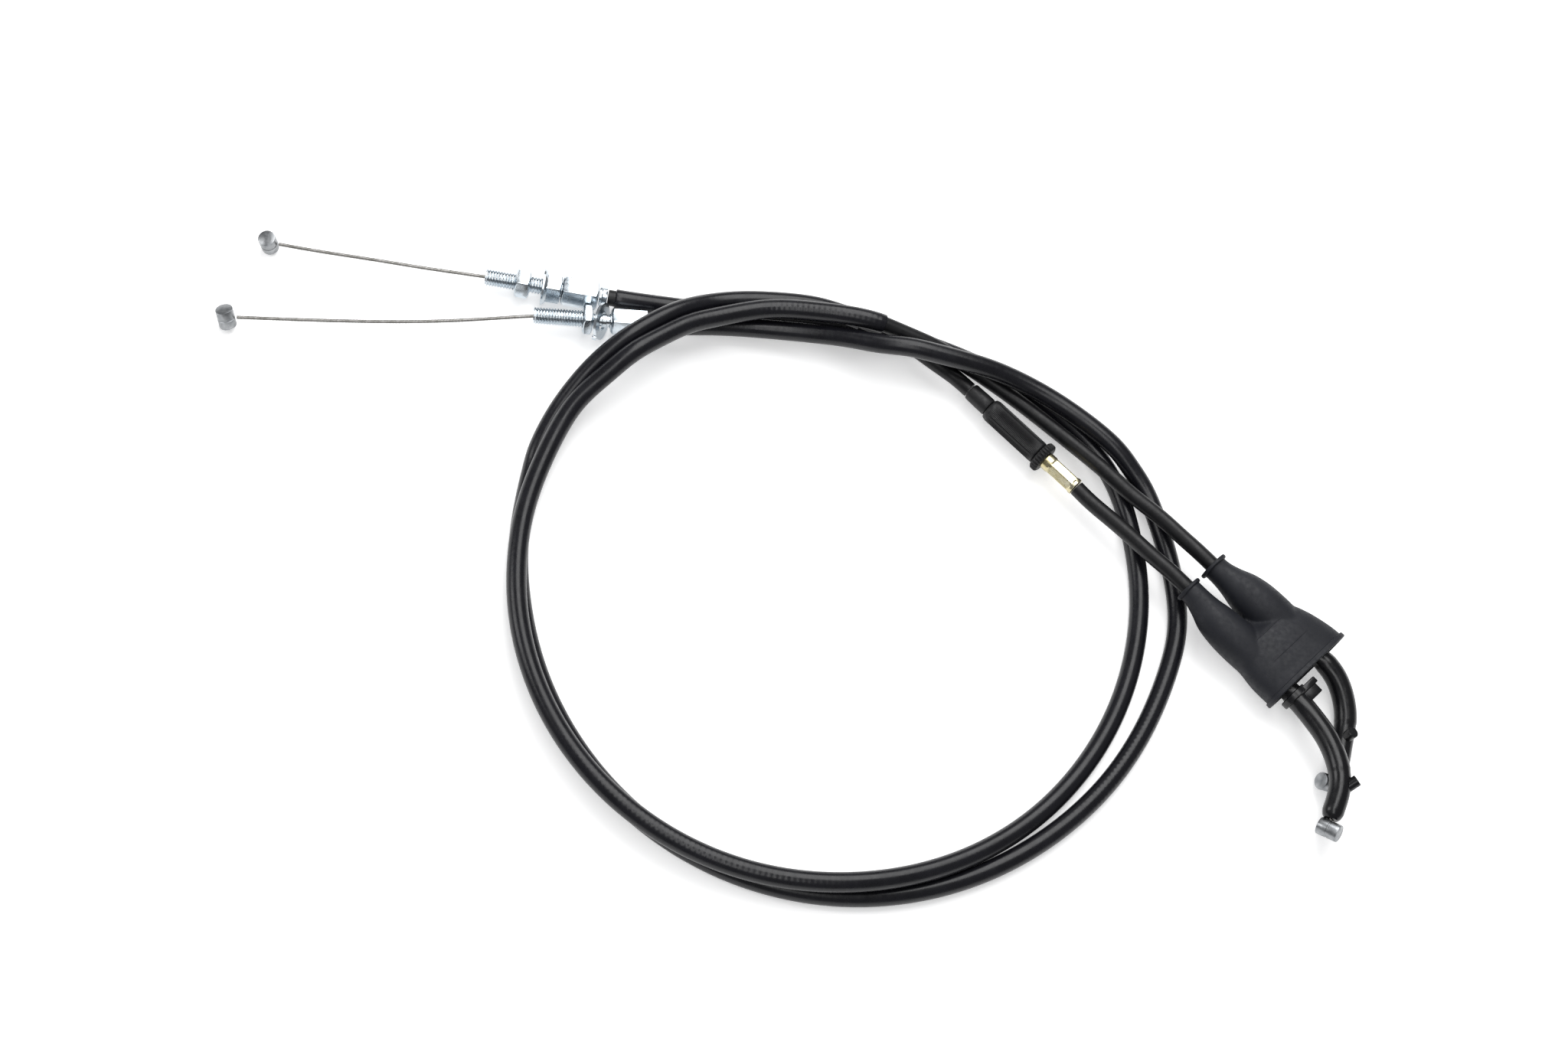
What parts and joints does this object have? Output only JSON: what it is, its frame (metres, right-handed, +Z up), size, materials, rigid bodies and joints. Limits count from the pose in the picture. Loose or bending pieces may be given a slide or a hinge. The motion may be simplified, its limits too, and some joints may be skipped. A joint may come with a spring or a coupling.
{
  "type": "throttle cable pair",
  "caption": "Pull and return throttle cables with twin rubber boot, bent elbows, inline adjuster, threaded end adjusters and barrel nipples, laid in a loose coil.",
  "frame": {"origin": "on the table, under the middle of the rigid pieces' box", "axes": "+X from the carburettor-end nipples to the twistgrip-end elbows, +Z up from the table the cables lie on"},
  "size_m": [0.3949, 0.231, 0.023],
  "materials": {
    "zinc_plate": "bright blue-white zinc plating, satin",
    "yellow_zinc": "yellow-passivated zinc plating, satin",
    "cast_nipple": "dull cast zinc alloy",
    "stranded_wire": "stranded steel wire, lightly oiled",
    "vinyl_sleeve": "semi-gloss black vinyl",
    "casing_plastic": "satin black extruded plastic",
    "elbow_plastic": "glossy black coating",
    "adjuster_plastic": "matt black moulded plastic",
    "boot_rubber": "matt black moulded rubber"
  },
  "bodies": {
    "casing": {"casing_a_sleeved": "vinyl_sleeve", "casing_a_bare": "casing_plastic", "casing_b_sleeved": "vinyl_sleeve", "casing_b_bare_upper": "casing_plastic", "casing_b_bare_lower": "casing_plastic", "adjuster_a_body": "zinc_plate", "adjuster_b_body": "zinc_plate", "casing_a_end_ferrule": "zinc_plate", "casing_b_end_ferrule": "zinc_plate", "inline_end_cap": "adjuster_plastic", "inline_threaded_ferrule": "yellow_zinc", "elbow_a": "elbow_plastic", "elbow_a_ferrule": "elbow_plastic", "elbow_b": "elbow_plastic", "elbow_b_ferrule": "elbow_plastic"},
    "cable_a_near_end": {"wire_a_near": "stranded_wire", "nipple_a_near": "cast_nipple"},
    "cable_a_far_end": {"wire_a_far": "stranded_wire", "nipple_a_far": "cast_nipple"},
    "cable_b_near_end": {"wire_b_near": "stranded_wire", "nipple_b_near": "cast_nipple"},
    "cable_b_far_end": {"wire_b_far": "stranded_wire", "nipple_b_far": "cast_nipple"},
    "lock_nut_a": {"adjuster_a_lock_nut": "zinc_plate"},
    "flange_nut_a": {"adjuster_a_flange_nut": "zinc_plate"},
    "lock_nut_b": {"adjuster_b_lock_nut": "zinc_plate"},
    "tab_washer_b": {"adjuster_b_tab_washer": "zinc_plate"},
    "barrel": {"inline_barrel": "adjuster_plastic"},
    "lock_ring": {"inline_lock_ring": "adjuster_plastic"},
    "boot": {"twin_boot": "boot_rubber"}
  },
  "joints": [
    {"name": "cable_a_slide", "type": "slide", "parent": "casing", "child": "cable_a_near_end", "axis": [0.9942, -0.1074, 0], "range_m": [0, 0.036]},
    {"name": "cable_a_far_slide", "type": "slide", "parent": "casing", "child": "cable_a_far_end", "axis": [-0.5501, -0.8351, 0], "range_m": [0, 0.036]},
    {"name": "cable_b_slide", "type": "slide", "parent": "casing", "child": "cable_b_near_end", "axis": [1, 0, 0], "range_m": [0, 0.036], "deforming": ["wire_b_near"]},
    {"name": "cable_b_far_slide", "type": "slide", "parent": "casing", "child": "cable_b_far_end", "axis": [-0.17, -0.9781, -0.12], "range_m": [0, 0.036]},
    {"name": "lock_nut_a_travel", "type": "slide", "parent": "casing", "child": "lock_nut_a", "axis": [0.9942, -0.1074, 0], "range_m": [-0.009, 0.0017]},
    {"name": "flange_nut_a_travel", "type": "slide", "parent": "casing", "child": "flange_nut_a", "axis": [0.9942, -0.1074, 0], "range_m": [-0.0017, 0]},
    {"name": "lock_nut_b_travel", "type": "slide", "parent": "casing", "child": "lock_nut_b", "axis": [1, 0, 0], "range_m": [-0.016, 0]},
    {"name": "tab_washer_turn", "type": "hinge", "parent": "casing", "child": "tab_washer_b", "pos_m": [-0.0664, 0.0764, 0.0085], "axis": [1, 0, 0], "range_deg": [-50, 110]},
    {"name": "inline_barrel_turn", "type": "hinge", "parent": "casing", "child": "barrel", "pos_m": [0.07916, 0.04517, 0.00779], "axis": [0.7217, -0.6921, 0.0138], "continuous": true},
    {"name": "inline_lock_ring_turn", "type": "hinge", "parent": "casing", "child": "lock_ring", "pos_m": [0.07916, 0.04517, 0.00779], "axis": [0.7217, -0.6921, 0.0138], "continuous": true},
    {"name": "boot_slide", "type": "slide", "parent": "casing", "child": "boot", "axis": [-0.7001, 0.7141, 0], "range_m": [0, 0.005]}
  ],
  "couplings": [
    {"joint": "cable_a_far_slide", "follows": "cable_a_slide", "ratio": 1},
    {"joint": "cable_b_far_slide", "follows": "cable_b_slide", "ratio": 1}
  ]
}
